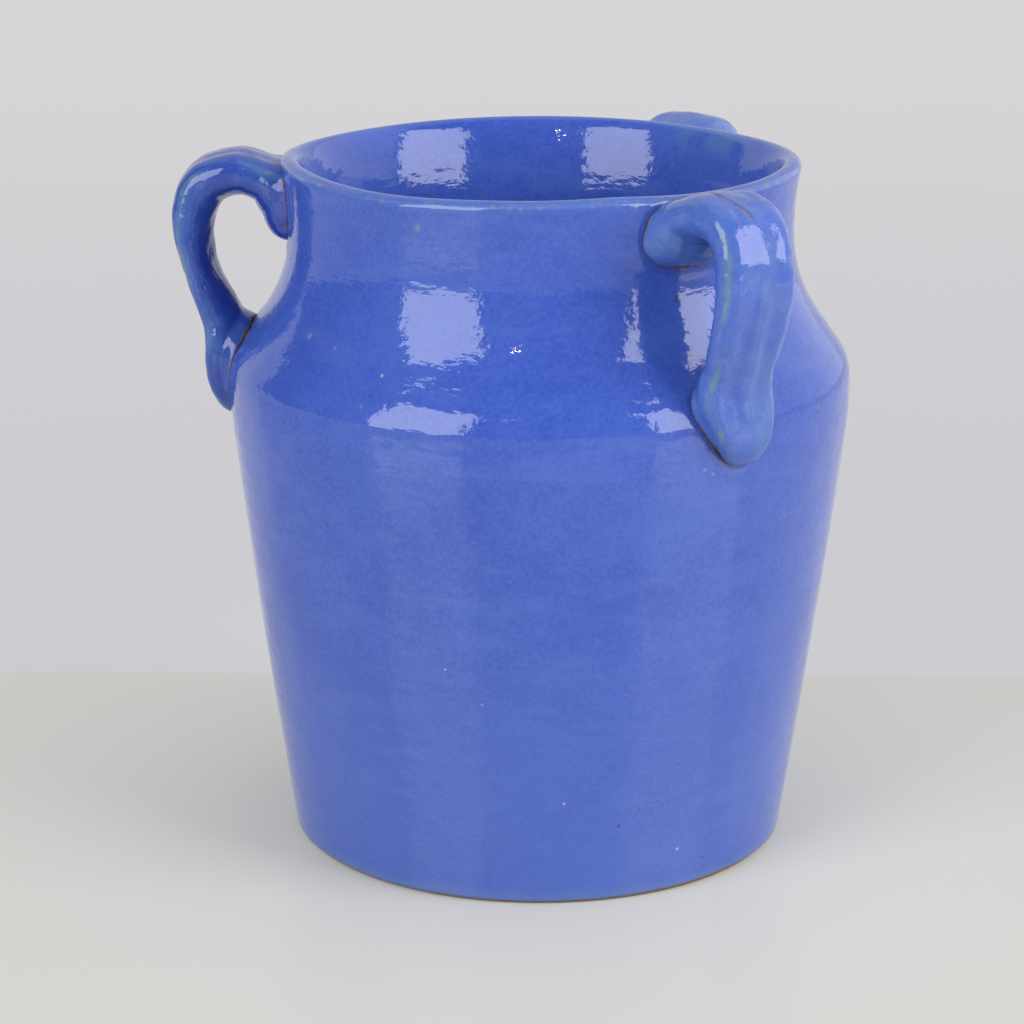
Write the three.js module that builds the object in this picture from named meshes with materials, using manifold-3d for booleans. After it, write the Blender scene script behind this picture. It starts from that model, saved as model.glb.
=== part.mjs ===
// A three-handled vase in glazed earthenware, in millimetres, +Z up.
// The origin is the centre of the flat base. A wheel-thrown pot widens to a rounded ridge,
// turns in to a short neck and ends in a rounded lip. Three pulled strap handles spring from
// under the lip, bend over and come down on the ridge. Each end of a handle is stuck to the
// pot with a pad of luting slip that squeezes out in a thin bead round the strap.

import * as THREE from 'three';
import { mergeVertices } from 'three/addons/utils/BufferGeometryUtils.js';
import Module from 'manifold-3d';

const wasm = await Module();
wasm.setup();

// Outside of the pot. The ridge and the neck are given as the sharp corners of the outline,
// and each rounding as the length of outline that it takes up on both sides of its corner.
const rimHeight = 200;
const baseRadius = 72.3;
const footBevel = 1.5;
const wallSwell = 0.5;
const ridgeRadius = 90.4;
const ridgeHeight = 136.7;
const ridgeRounding = 10.5;
const neckRadius = 71.3;
const neckCornerBelowRim = 32.4;
const neckRounding = 12;
const lipRadius = 73.8;
const lipThickness = 6.8;
const lipCrown = 4;

// Inside of the pot
const wallThickness = 6;
const floorThickness = 8;
const floorCornerRadius = 12;

// Width and thickness of a handle's strap: at the root on the neck, in the throat beside it,
// over the crest, in the bend, halfway down, where it lands on the shoulder and on the ridge
const rootWidth = 30;
const rootThickness = 20;
const throatWidth = 27;
const throatThickness = 10;
const crestWidth = 25;
const crestThickness = 10.6;
const bendThickness = 11.6;
const strapWidth = 23.5;
const strapThickness = 8.8;
const landingThickness = 12;
const lobeWidth = 24.5;
const lobeThickness = 9.4;
const lobeTipLength = 14;

// Section of the strap: how square it is in the middle, how soft at its edges,
// and the two finger grooves that run down its outer face
const sectionFullness = 3.4;
const edgeSoftness = 2.3;
const grooveDepth = 1.3;
const grooveHalfWidth = 3.4;
const groovePlace = 0.383;
const grooveFadeLength = 16;

// Course of a handle's middle line: outwards from the neck and down from the rim,
// then outwards from the ridge and above or below it
const rootBelowRim = 11.8;
const throatOut = 8.4;
const throatBelowRim = 5.6;
const crestOut = 15.8;
const crestBelowRim = 4.9;
const bendOut = 25.8;
const bendBelowRim = 8.6;
const elbowOut = 29.4;
const elbowBelowRim = 18;
const strapBow = 2;
const landingOut = 4.4;
const landingAboveRidge = 13;
const lobeOut = 3;
const lobeTipSunk = 0.5;

// Luting slip between each end of a strap and the pot
const fitGap = 0.3;
const slipThickness = 1;
const slipBead = 1.1;

// The three handles are set by eye, so their spacing, height and lower ends differ.
const leftHandleAngle = 179;
const leftHandleLift = 0;
const leftTipBelowRidge = 13;
const rightHandleAngle = -56;
const rightHandleLift = 1.8;
const rightTipBelowRidge = 9.5;
const backHandleAngle = 58.5;
const backHandleLift = 0.4;
const backTipBelowRidge = 12;

// Fineness of the facets
const potSegments = 64;
const wallSteps = 3;
const curveSteps = 5;
const strapRings = 24;
const tipRings = 6;
const outerFaceSteps = 16;
const innerFaceSteps = 8;
const shortestEdge = 0.01;
const weldDistance = 1e-5;

function withoutRepeats(points) {
  return points.filter((point, i) => i === 0 || point.distanceTo(points[i - 1]) > shortestEdge);
}

// Rounds a corner of an outline. The rounding never takes more than half of either side.
function cornerRounding(before, corner, after, length) {
  const entry = corner.clone().lerp(before, Math.min(length / corner.distanceTo(before), 0.5));
  const exit = corner.clone().lerp(after, Math.min(length / corner.distanceTo(after), 0.5));
  return new THREE.QuadraticBezierCurve(entry, corner, exit);
}

// The outside of the pot from the edge of its base up to the widest place of its lip
function potOuterOutline() {
  const foot = new THREE.Vector2(baseRadius, footBevel);
  const ridge = new THREE.Vector2(ridgeRadius, ridgeHeight);
  const neck = new THREE.Vector2(neckRadius, rimHeight - neckCornerBelowRim);
  const neckTop = new THREE.Vector2(neckRadius, rimHeight - lipCrown);
  const lip = new THREE.Vector2(lipRadius, rimHeight - lipCrown);

  const ridgeCurve = cornerRounding(foot, ridge, neck, ridgeRounding);
  const neckCurve = cornerRounding(ridge, neck, neckTop, neckRounding);
  const wallMiddle = foot.clone().lerp(ridgeCurve.v0, 0.5);
  const wallBend = new THREE.Vector2(wallMiddle.x + 2 * wallSwell, wallMiddle.y);
  const wallCurve = new THREE.QuadraticBezierCurve(foot, wallBend, ridgeCurve.v0);
  const flareBend = new THREE.Vector2(neckRadius, (neckCurve.v2.y + lip.y) / 2);
  const lipFlare = new THREE.QuadraticBezierCurve(neckCurve.v2, flareBend, lip);

  return withoutRepeats([
    new THREE.Vector2(baseRadius - footBevel, 0),
    ...wallCurve.getPoints(wallSteps),
    ...ridgeCurve.getPoints(curveSteps),
    ...neckCurve.getPoints(curveSteps),
    ...lipFlare.getPoints(wallSteps),
  ]);
}

const outerOutline = potOuterOutline();

// The rounded lip, over the top from its outside to its inside
function lipArc() {
  const centreRadius = lipRadius - lipThickness / 2;
  const arc = new THREE.EllipseCurve(
    centreRadius, rimHeight - lipCrown, lipThickness / 2, lipCrown, 0, Math.PI);
  return arc.getPoints(2 * curveSteps);
}

// Moves an outline away from the pot, or into it where the distance is negative
function offsetOutline(points, distance) {
  return points.map((point, i) => {
    const previous = points[Math.max(i - 1, 0)];
    const next = points[Math.min(i + 1, points.length - 1)];
    const along = next.clone().sub(previous).normalize();
    return new THREE.Vector2(point.x + distance * along.y, point.y - distance * along.x);
  });
}

function radiusAt(outline, height) {
  const i = outline.findIndex((point, k) => k > 0 && point.y >= height);
  const below = outline[i - 1];
  const above = outline[i];
  const share = (height - below.y) / (above.y - below.y);
  return THREE.MathUtils.lerp(below.x, above.x, share);
}

function revolve(outline) {
  const geometry = new THREE.LatheGeometry(outline, potSegments);
  geometry.rotateX(Math.PI / 2);
  return geometry;
}

// The thrown pot: one wall from the flat base over the lip and down to a rounded floor corner
function potGeometry() {
  const innerWall = offsetOutline(outerOutline, -wallThickness);
  const cornerTop = floorThickness + floorCornerRadius;
  const cornerRadius = radiusAt(innerWall, cornerTop);
  const wallAboveCorner = innerWall.filter(
    (point) => point.y > cornerTop && point.y < rimHeight - lipCrown - wallSwell);
  const floorCorner = new THREE.QuadraticBezierCurve(
    new THREE.Vector2(cornerRadius, cornerTop),
    new THREE.Vector2(radiusAt(innerWall, floorThickness), floorThickness),
    new THREE.Vector2(cornerRadius - floorCornerRadius, floorThickness));

  return revolve(withoutRepeats([
    new THREE.Vector2(0, 0),
    ...outerOutline,
    ...lipArc(),
    ...wallAboveCorner.reverse(),
    ...floorCorner.getPoints(curveSteps),
    new THREE.Vector2(0, floorThickness),
  ]));
}

// The pot as a solid plug, grown by a distance and turned into a handle's own frame,
// for shaping what sits against the pot
function potPlug(growth, angle) {
  const lipOuterHalf = lipArc().slice(1, curveSteps + 1);
  const plug = revolve([
    new THREE.Vector2(0, -growth),
    ...offsetOutline([...outerOutline, ...lipOuterHalf], growth),
    new THREE.Vector2(0, rimHeight + growth),
  ]);
  plug.rotateZ(-angle);
  return solidFrom(plug);
}

function solidFrom(geometry) {
  const bare = geometry.clone();
  bare.deleteAttribute('normal');
  bare.deleteAttribute('uv');
  const merged = mergeVertices(bare, weldDistance);
  const corners = merged.index.array;
  const triVerts = [];
  for (let i = 0; i < corners.length; i += 3) {
    const [a, b, c] = corners.slice(i, i + 3);
    if (a !== b && b !== c && c !== a) {
      triVerts.push(a, b, c);
    }
  }
  return new wasm.Manifold(new wasm.Mesh({
    numProp: 3,
    vertProperties: new Float32Array(merged.attributes.position.array),
    triVerts: new Uint32Array(triVerts),
  }));
}

function geometryFrom(solid) {
  const mesh = solid.getMesh();
  const geometry = new THREE.BufferGeometry();
  geometry.setAttribute('position', new THREE.BufferAttribute(mesh.vertProperties, 3));
  geometry.setIndex(new THREE.BufferAttribute(mesh.triVerts, 1));
  geometry.computeVertexNormals();
  return geometry;
}

// The middle line of a handle in its own plane, x outwards and z up, with the strap's width
// and thickness at the same places. It starts inside the neck and ends on the wall.
function strapCourse(lift, tipBelowRidge) {
  const rootHeight = rimHeight - rootBelowRim;
  const ridgeFace = radiusAt(outerOutline, ridgeHeight);
  const elbow = neckRadius + elbowOut;
  const landing = ridgeFace + landingOut;
  const landingHeight = ridgeHeight + landingAboveRidge;
  const midHeight = (rimHeight - elbowBelowRim + landingHeight) / 2;
  const tipHeight = ridgeHeight - tipBelowRidge;
  const tip = radiusAt(outerOutline, tipHeight) - lobeTipSunk;
  const stations = [
    [neckRadius - wallThickness, rootHeight, rootWidth, rootThickness],
    [neckRadius + fitGap, rootHeight, rootWidth, rootThickness],
    [neckRadius + throatOut, rimHeight - throatBelowRim + lift, throatWidth, throatThickness],
    [neckRadius + crestOut, rimHeight - crestBelowRim + lift, crestWidth, crestThickness],
    [neckRadius + bendOut, rimHeight - bendBelowRim + lift, strapWidth, bendThickness],
    [elbow, rimHeight - elbowBelowRim, strapWidth, crestThickness],
    [(elbow + landing) / 2 + strapBow, midHeight, strapWidth, strapThickness],
    [landing, landingHeight, strapWidth, landingThickness],
    [ridgeFace + lobeOut, ridgeHeight, lobeWidth, lobeThickness],
    [tip, tipHeight, lobeWidth, lobeThickness],
  ];
  return {
    line: new THREE.CatmullRomCurve3(stations.map(([x, z]) => new THREE.Vector3(x, 0, z))),
    size: new THREE.SplineCurve(stations.map(([, , w, t]) => new THREE.Vector2(w, t))),
  };
}

// Half the thickness of a strap, as a share, at a place across it from -1 to 1
function sectionHeight(across) {
  return (1 - Math.abs(across) ** sectionFullness) ** (1 / edgeSoftness);
}

function grooveAt(across, width) {
  const fromGroove = (Math.abs(across) - groovePlace) * width / 2;
  const reach = Math.min(Math.abs(fromGroove) / grooveHalfWidth, 1);
  return grooveDepth * (1 + Math.cos(Math.PI * reach)) / 2;
}

// One ring of points round the strap: across its outer face and back along its inner face
function strapRing(width, thickness, grooveShare) {
  const ring = [];
  for (let i = 0; i < outerFaceSteps; i += 1) {
    const across = Math.sin((Math.PI / 2) * (2 * i / outerFaceSteps - 1));
    const groove = grooveShare * grooveAt(across, width);
    ring.push([across * width / 2, sectionHeight(across) * thickness / 2 - groove]);
  }
  for (let i = 0; i < innerFaceSteps; i += 1) {
    const across = Math.sin((Math.PI / 2) * (1 - 2 * i / innerFaceSteps));
    ring.push([across * width / 2, -sectionHeight(across) * thickness / 2]);
  }
  return ring;
}

// Where the rings lie along the strap, as shares of its length: evenly spaced,
// then closer and closer in the rounded tongue at its tip
function ringShares(tongueStart, end) {
  const shares = [];
  for (let i = 0; i < strapRings; i += 1) {
    shares.push(tongueStart * i / strapRings);
  }
  for (let i = 0; i < tipRings; i += 1) {
    shares.push(THREE.MathUtils.lerp(tongueStart, end, Math.sin((Math.PI / 2) * i / tipRings)));
  }
  return shares;
}

// A grooved strap lofted along its course between two shares of its length.
// The outset grows it all round, to make the outline of the slip under it.
function strapGeometry({ line, size }, outset, from, to) {
  const length = line.getLength();
  const end = 1 + outset / length;
  const tongueStart = 1 - lobeTipLength / length;
  const shares = ringShares(tongueStart, end).filter((share) => share >= from && share <= to);
  const positions = [];
  for (const share of shares) {
    const onLine = Math.min(share, 1);
    const tangent = line.getTangentAt(onLine);
    const centre = line.getPointAt(onLine).addScaledVector(tangent, (share - onLine) * length);
    const outward = new THREE.Vector3(-tangent.z, 0, tangent.x);
    const here = size.getPoint(line.getUtoTmapping(onLine));
    const intoTongue = Math.max(share - tongueStart, 0) / (end - tongueStart);
    const taper = Math.sqrt(1 - intoTongue ** 2);
    const grooveShare = THREE.MathUtils.smoothstep((1 - share) * length, 0, grooveFadeLength);
    const ring = strapRing(
      (here.x + 2 * outset) * taper, (here.y + 2 * outset) * taper, grooveShare);
    for (const [across, height] of ring) {
      positions.push(centre.x + outward.x * height, across, centre.z + outward.z * height);
    }
  }
  return closedLoft(positions, outerFaceSteps + innerFaceSteps, shares.length);
}

function closedLoft(positions, ringSize, ringCount) {
  const triangles = [];
  for (let ring = 0; ring < ringCount - 1; ring += 1) {
    for (let i = 0; i < ringSize; i += 1) {
      const a = ring * ringSize + i;
      const b = ring * ringSize + ((i + 1) % ringSize);
      triangles.push(a, a + ringSize, b);
      triangles.push(b, a + ringSize, b + ringSize);
    }
  }
  const last = (ringCount - 1) * ringSize;
  for (let i = 1; i < ringSize - 1; i += 1) {
    triangles.push(0, i, i + 1);
    triangles.push(last, last + i + 1, last + i);
  }
  const geometry = new THREE.BufferGeometry();
  geometry.setAttribute('position', new THREE.Float32BufferAttribute(positions, 3));
  geometry.setIndex(triangles);
  return geometry;
}

// The blue glaze runs thin and greener on the handles, and the slip's seam fires brownish.
const potGlaze = new THREE.MeshStandardMaterial({ color: 0x4a66c8, roughness: 0.15, metalness: 0 });
const handleGlaze = new THREE.MeshStandardMaterial({ color: 0x4a74b4, roughness: 0.18, metalness: 0 });
const seamGlaze = new THREE.MeshStandardMaterial({ color: 0x5a5a62, roughness: 0.35, metalness: 0 });

function namedMesh(name, geometry, material) {
  const mesh = new THREE.Mesh(geometry, material);
  mesh.name = name;
  return mesh;
}

function makePot() {
  return namedMesh('vase_body', potGeometry(), potGlaze);
}

// One handle with the two pads of slip that hold it, in a group turned to its place on the pot
function makeHandle(side, degrees, lift, tipBelowRidge) {
  const angle = THREE.MathUtils.degToRad(degrees);
  const seat = potPlug(fitGap + slipThickness + fitGap, angle);
  const slipLayer = potPlug(fitGap + slipThickness, angle).subtract(potPlug(fitGap, angle));

  const course = strapCourse(lift, tipBelowRidge);
  const strap = solidFrom(strapGeometry(course, 0, 0, 1));
  const upperHalf = solidFrom(strapGeometry(course, slipBead, 0, 0.5));
  const lowerHalf = solidFrom(strapGeometry(course, slipBead, 0.5, 2));

  const handle = new THREE.Group();
  handle.rotation.z = angle;
  handle.add(
    namedMesh(`handle_${side}`, geometryFrom(strap.subtract(seat)), handleGlaze),
    namedMesh(`luting_slip_${side}_upper`, geometryFrom(upperHalf.intersect(slipLayer)), seamGlaze),
    namedMesh(`luting_slip_${side}_lower`, geometryFrom(lowerHalf.intersect(slipLayer)), seamGlaze));
  return handle;
}

const vase = new THREE.Group();
vase.add(makePot());
vase.add(makeHandle('left', leftHandleAngle, leftHandleLift, leftTipBelowRidge));
vase.add(makeHandle('right', rightHandleAngle, rightHandleLift, rightTipBelowRidge));
vase.add(makeHandle('back', backHandleAngle, backHandleLift, backTipBelowRidge));

export default vase;
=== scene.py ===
# %% [markdown]
# # A three-handled vase in blue glaze
# The real vase was thrown on a wheel, given three pulled handles while the clay was stiff,
# dipped in a cobalt glaze and fired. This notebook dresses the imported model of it: pot, handles
# and joining slip are made again as finer meshes in the same places, and each gets a glaze whose
# colour, gloss and small faults come from nodes.
#
# Everything is worked out in millimetres, because a potter's sizes are easy to read that way,
# and turned into Blender's metres only when a mesh is made.

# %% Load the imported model
import math
import bpy
import numpy as np
from mathutils import Matrix
from numpy.linalg import norm


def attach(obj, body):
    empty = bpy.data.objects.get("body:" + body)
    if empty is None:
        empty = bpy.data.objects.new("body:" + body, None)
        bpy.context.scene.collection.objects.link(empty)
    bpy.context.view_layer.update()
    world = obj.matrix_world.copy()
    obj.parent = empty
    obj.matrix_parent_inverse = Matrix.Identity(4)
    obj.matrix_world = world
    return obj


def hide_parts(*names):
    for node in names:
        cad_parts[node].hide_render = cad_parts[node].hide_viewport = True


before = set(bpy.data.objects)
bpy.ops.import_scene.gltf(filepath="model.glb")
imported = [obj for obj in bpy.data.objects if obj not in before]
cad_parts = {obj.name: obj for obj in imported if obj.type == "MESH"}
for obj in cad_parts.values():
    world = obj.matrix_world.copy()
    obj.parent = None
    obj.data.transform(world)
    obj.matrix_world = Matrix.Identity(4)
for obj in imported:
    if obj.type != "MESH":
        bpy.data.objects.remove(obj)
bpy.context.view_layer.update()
print("nodes:", ", ".join(sorted(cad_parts)))

# %% [markdown]
# ## Small helpers for shapes
# A mesh can be modelled by hand, carved, or computed point by point. Thrown and pulled clay
# follows simple rules, so every surface here is a grid of points, with rows along the form and
# columns round it. A grid is easy to bend and to measure before it becomes a mesh.
#
# Clay is never quite even. `waves` gives a smooth, repeatable unevenness: a sum of a few
# cosines that run in seeded random directions, so each run makes the same vase.

# %% Helpers: directions, unevenness and steps
MM = 0.001


def unit(vectors):
    """The same directions, all with a length of 1."""
    return vectors / norm(vectors, axis=-1, keepdims=True)


def walked(line):
    """How far along a line each of its points lies."""
    return np.concatenate([[0], np.cumsum(norm(np.diff(line, axis=0), axis=1))])


def waves(points, length, seed, count=7):
    """Smooth unevenness from about -1 to 1, whose humps are roughly this long."""
    draw = np.random.default_rng(seed)
    directions = unit(draw.normal(size=(count, points.shape[-1])))
    lengths = length * draw.uniform(0.75, 1.5, count)
    phases = draw.uniform(0, 2 * math.pi, count)
    total = np.zeros(points.shape[:-1])
    for direction, each, phase in zip(directions, lengths, phases):
        total += np.cos(2 * math.pi * (points @ direction) / each + phase)
    return total / math.sqrt(count)


def step(low, high, x):
    """0 below low, 1 above high and a smooth S between them."""
    t = np.clip((x - low) / (high - low), 0, 1)
    return t * t * (3 - 2 * t)


def hump(x, width):
    """1 at zero and falling away to both sides like a bell of this width."""
    return np.exp(-(x / width) ** 2)


# %% Helpers: grids and meshes
link = bpy.context.scene.collection.objects.link


def grid_faces(rows, columns, looped=False):
    """Quads of a grid that closes on itself round the columns, and if looped, round the rows."""
    corner = np.arange(rows * columns).reshape(rows, columns)
    beside = np.roll(corner, -1, axis=1)
    quads = np.stack([corner, beside, np.roll(beside, -1, axis=0), np.roll(corner, -1, axis=0)], -1)
    return (quads if looped else quads[:-1]).reshape(-1, 4).tolist()


def end_fan(centre, ring, turn):
    """Triangles from a centre point to a ring. turn flips the side that they face."""
    following = np.roll(ring, -1)
    pairs = zip(ring, following) if turn else zip(following, ring)
    return [[centre, int(a), int(b)] for a, b in pairs]


def closed_faces(rows, columns):
    """Quads between rings, with each of the two open ends drawn together to a middle point."""
    total = rows * columns
    return (grid_faces(rows, columns) + end_fan(total, np.arange(columns), False)
            + end_fan(total + 1, np.arange(total - columns, total), True))


def with_ends(numbers, first=0, last=0):
    """The numbers of all rings in one row, then those of the two middle points."""
    return np.concatenate([np.ravel(numbers), [first, last]])


def make_piece(name, points, faces, values=None):
    """A smooth object from points in millimetres, with named values at its points."""
    mesh = bpy.data.meshes.new(name)
    mesh.from_pydata((points * MM).tolist(), [], faces)
    mesh.shade_smooth()
    for label, numbers in (values or {}).items():
        layer = mesh.attributes.new(label, "FLOAT", "POINT")
        layer.data.foreach_set("value", np.asarray(numbers, np.float32))
    mesh.validate()
    piece = bpy.data.objects.new(name, mesh)
    link(piece)
    print(name, len(mesh.vertices), "points,", len(mesh.polygons), "faces")
    return piece


# %% [markdown]
# ## The outline of the pot
# On the wheel the whole pot is one turned outline. The wall leans outwards to a rounded ridge,
# turns in over a short shoulder and up into a short neck that flares to a rolled lip. A Screw
# modifier could turn a drawn curve. Computing it keeps each height and radius as a named number,
# and lets the lip and the foot have far closer points than the plain walls.

# %% Sizes of the pot, in millimetres
rim_height = 200
base_radius = 72.6
foot_bevel = 1.5
wall_swell = 0.5
ridge_radius, ridge_low, ridge_low_rounding = 89.8, 127.5, 8
ridge_height, ridge_rounding, ridge_lean = 142.2, 4.6, 0.2
neck_radius, neck_corner_height, neck_rounding = 72.5, 166.3, 14
lip_radius, lip_thickness, lip_crown = 74.2, 6, 2.4
wall_thickness, floor_thickness, floor_corner = 6, 8, 12
throat_radius, throat_height, throat_bend = 62.4, 171, 186
inner_shoulder_start, inner_shoulder_bend = ridge_height + 16, throat_height - 8
inner_edge_drop, inner_edge_run = 2.5, 1.3


def bend(start, corner, end, count=40):
    """Points on a curve that leaves start towards corner and reaches end coming from it."""
    t = np.linspace(0, 1, count)[:, None]
    return (1 - t) ** 2 * start + 2 * t * (1 - t) * corner + t ** 2 * end


def round_corner(before, corner, after, length):
    """A rounding that takes up this length of outline on both sides of a corner."""
    entry = corner + (before - corner) * min(length / norm(before - corner), 0.5)
    leave = corner + (after - corner) * min(length / norm(after - corner), 0.5)
    return bend(entry, corner, leave)


# %% Outside of the pot, from the foot to the widest place of the lip
def pot_outside():
    foot, low_ridge, ridge, neck, neck_top, lip = np.array([
        [base_radius, foot_bevel], [ridge_radius, ridge_low],
        [ridge_radius - ridge_lean, ridge_height], [neck_radius, neck_corner_height],
        [neck_radius, rim_height - lip_crown], [lip_radius, rim_height - lip_crown]])
    low_curve = round_corner(foot, low_ridge, ridge, ridge_low_rounding)
    ridge_curve = round_corner(low_ridge, ridge, neck, ridge_rounding)
    neck_curve = round_corner(ridge, neck, neck_top, neck_rounding)
    middle = (foot + low_curve[0]) / 2
    wall = bend(foot, middle + [2 * wall_swell, 0], low_curve[0], count=80)
    flare = bend(neck_curve[-1], [neck_radius, (neck_curve[-1][1] + lip[1]) / 2], lip)
    return np.vstack([wall, low_curve[1:], ridge_curve, neck_curve, flare[1:]])


outside = pot_outside()
lip_turn = np.linspace(0, math.pi / 2, 30)
lip_middle = lip_radius - lip_thickness / 2
lip_outer = np.stack([lip_middle + lip_thickness / 2 * np.cos(lip_turn),
                      rim_height - lip_crown + lip_crown * np.sin(lip_turn)], -1)
inner_edge = np.array([lip_radius - lip_thickness, rim_height - inner_edge_drop])
lip_inner = bend(lip_outer[-1], inner_edge + [inner_edge_run, inner_edge_drop], inner_edge,
                 count=30)
lip_arc = np.vstack([lip_outer, lip_inner[1:]])
print("widest radius", outside[:, 0].max().round(1), "mm at the ridge")


# %% Inside of the pot, and the whole outline with evenly spaced points
base_spacing, foot_spacing, wall_spacing = 6, 0.2, 1.1
lip_spacing, inside_spacing, floor_spacing = 0.35, 1.3, 4
foot_zone = 4
inner_ring = 0.5


def pushed(line, distance):
    """The line moved sideways, to its right as it is walked."""
    along = unit(np.gradient(line, axis=0))
    return line + distance * np.stack([along[:, 1], -along[:, 0]], -1)


def spaced(line, spacing):
    """Points at an even spacing along a line."""
    places = walked(line)
    at = np.linspace(0, places[-1], max(round(places[-1] / spacing), 2) + 1)
    return np.stack([np.interp(at, places, values) for values in line.T], -1)


def pot_outline():
    """Rows of radius and height, from the middle of the base round to the middle of the floor."""
    inside = pushed(outside, -wall_thickness)
    inside = inside[inside[:, 1] < inner_shoulder_start]
    throat = np.array([throat_radius, throat_height])
    shoulder = bend(inside[-1], [throat_radius, inner_shoulder_bend], throat)
    flare = bend(throat, [throat_radius, throat_bend], inner_edge)
    inside = np.vstack([inside, shoulder[1:], flare[1:]])
    corner_top = floor_thickness + floor_corner
    corner_radius = np.interp(corner_top, inside[:, 1], inside[:, 0])
    floor_edge = np.array([corner_radius - floor_corner, floor_thickness])
    corner_bend = np.interp(floor_thickness, inside[:, 1], inside[:, 0])
    corner = bend(np.array([corner_radius, corner_top]), [corner_bend, floor_thickness],
                  floor_edge)
    wall = inside[(inside[:, 1] > corner_top) & (inside[:, 1] < inner_edge[1] - 0.2)]
    inner_wall = np.vstack([lip_arc[-1:], wall[::-1], corner[:1]])
    base = np.array([[inner_ring, 0], [base_radius - foot_bevel, 0]])
    low = outside[:, 1] < foot_zone
    foot = np.vstack([base[1:], outside[low]])
    floor = np.array([floor_edge, [inner_ring, floor_thickness]])
    return np.vstack([
        spaced(base, base_spacing), spaced(foot, foot_spacing)[1:],
        spaced(outside[~low], wall_spacing), spaced(lip_arc, lip_spacing)[1:],
        spaced(inner_wall, inside_spacing)[1:], spaced(corner, inside_spacing)[1:],
        spaced(floor, floor_spacing)[1:]])


outline = pot_outline()
print(len(outline), "rows in the pot's outline")

# %% [markdown]
# ## The course of a handle
# A handle starts as a strap pulled from a lump of wet clay. Its thick root is pressed on the
# neck just under the lip. From there it rises a little, bends over and comes down free of the
# pot, and its lower end is laid on the ridge and wiped flat as a tongue. The middle line is a
# smooth curve through ten stations, each with the strap's width and thickness there. It is the
# same centripetal curve that the solid model uses, so the finer strap fits in the plain one's
# place.

# %% What differs from handle to handle, and sizes that all three share
handles = {
    "left": dict(angle=179, lift=1, tip_below_ridge=13, elbow_drop=16, tongue_drift=0,
                 lobe_width=24, root_bulge=1.75, filled=1),
    "right": dict(angle=-56, lift=2.2, tip_below_ridge=9.5, elbow_drop=18, tongue_drift=4.2,
                  lobe_width=21.5, root_bulge=1.2, filled=0.45),
    "back": dict(angle=58.5, lift=0.8, tip_below_ridge=12, elbow_drop=18, tongue_drift=0,
                 lobe_width=24, root_bulge=1.5, filled=0.7),
}
fit_gap = 0.3
root_drop, root_width, root_thickness = 9.5, 30, 16
elbow_reach, middle_drop, middle_bow = 27.9, 18, 2
landing_gap, landing_rise = 2.6, 13
tongue_height, tongue_gap, tip_sink = 137.4, 2.7, 0.5
strap_width = 23.5
tongue_length, tip_length = 21, 10


def outside_radius(height):
    return np.interp(height, outside[:, 1], outside[:, 0])


def strap_stations(handle):
    """Outwards place, height, width and thickness of the strap at ten places along it."""
    crest, lobe_width = rim_height + handle["lift"], handle["lobe_width"]
    root_height = rim_height - root_drop
    elbow = neck_radius + elbow_reach
    ridge_face = outside_radius(tongue_height)
    landing, landing_height = ridge_face + landing_gap, tongue_height + landing_rise
    middle = (elbow + landing) / 2 + middle_bow
    middle_height = (rim_height - middle_drop + landing_height) / 2
    tip_height = tongue_height - handle["tip_below_ridge"]
    return np.array([
        [neck_radius - wall_thickness, root_height, root_width, root_thickness],
        [neck_radius + fit_gap, root_height, root_width, root_thickness],
        [neck_radius + 6.6, crest - 7.2, 27, 11.4],
        [neck_radius + 14, crest - 5.3, 25, 11.4],
        [neck_radius + 24, crest - 8.6, strap_width, 11.3],
        [elbow, rim_height - handle["elbow_drop"], strap_width, 10.5],
        [middle, middle_height, strap_width, 8.2],
        [landing, landing_height, strap_width, 10.8],
        [ridge_face + tongue_gap, tongue_height, lobe_width, 9.6],
        [outside_radius(tip_height) - tip_sink, tip_height, lobe_width, 9.4]])


# %% A smooth line through the stations
def eased(start, end, leave, arrive, t):
    """Points from start to end that set off along leave and come in along arrive."""
    return (start + leave * t + (3 * (end - start) - 2 * leave - arrive) * t ** 2
            + (2 * (start - end) + leave + arrive) * t ** 3)


def through(stations, count=60):
    """Points of a centripetal curve through places, with sizes that pass smoothly too."""
    places, sizes = stations[:, :2], stations[:, 2:]
    places = np.vstack([2 * places[0] - places[1], places, 2 * places[-1] - places[-2]])
    sizes = np.vstack([sizes[0], sizes, sizes[-1]])
    t = np.linspace(0, 1, count, endpoint=False)[:, None]
    rows = []
    for i in range(len(stations) - 1):
        p, s = places[i:i + 4], sizes[i:i + 4]
        first, second, third = norm(np.diff(p, axis=0), axis=1) ** 0.5
        leave = second * ((p[1] - p[0]) / first - (p[2] - p[0]) / (first + second)
                          + (p[2] - p[1]) / second)
        arrive = second * ((p[2] - p[1]) / second - (p[3] - p[1]) / (second + third)
                           + (p[3] - p[2]) / third)
        rows.append(np.hstack([eased(p[1], p[2], leave, arrive, t),
                               eased(s[1], s[2], (s[2] - s[0]) / 2, (s[3] - s[1]) / 2, t)]))
    return np.vstack(rows + [stations[-1:]])


for side, handle in handles.items():
    handle["course"] = through(strap_stations(handle))
    print("strap", side, "is", walked(handle["course"][:, :2])[-1].round(1), "mm long")

# %% [markdown]
# ## The strap as a grid of points
# Across, the strap is a flattened oval with two grooves down its outer face, the marks of the
# fingers that pulled it. A profile curve swept along a path would give an even strap. Laying
# each ring on its own lets the grooves fade at the tongue and the edges wander a little, and the
# clay close to the pot can be treated apart: where the joint cracked in drying, the strap's rim
# is rounded back so that a dark line opens, and where the potter wiped it, it swells softly.

# %% How far points are from the outside of the pot
with_lip = np.vstack([outside, lip_outer[1:]])
skin = spaced(with_lip, 1.5)


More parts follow.
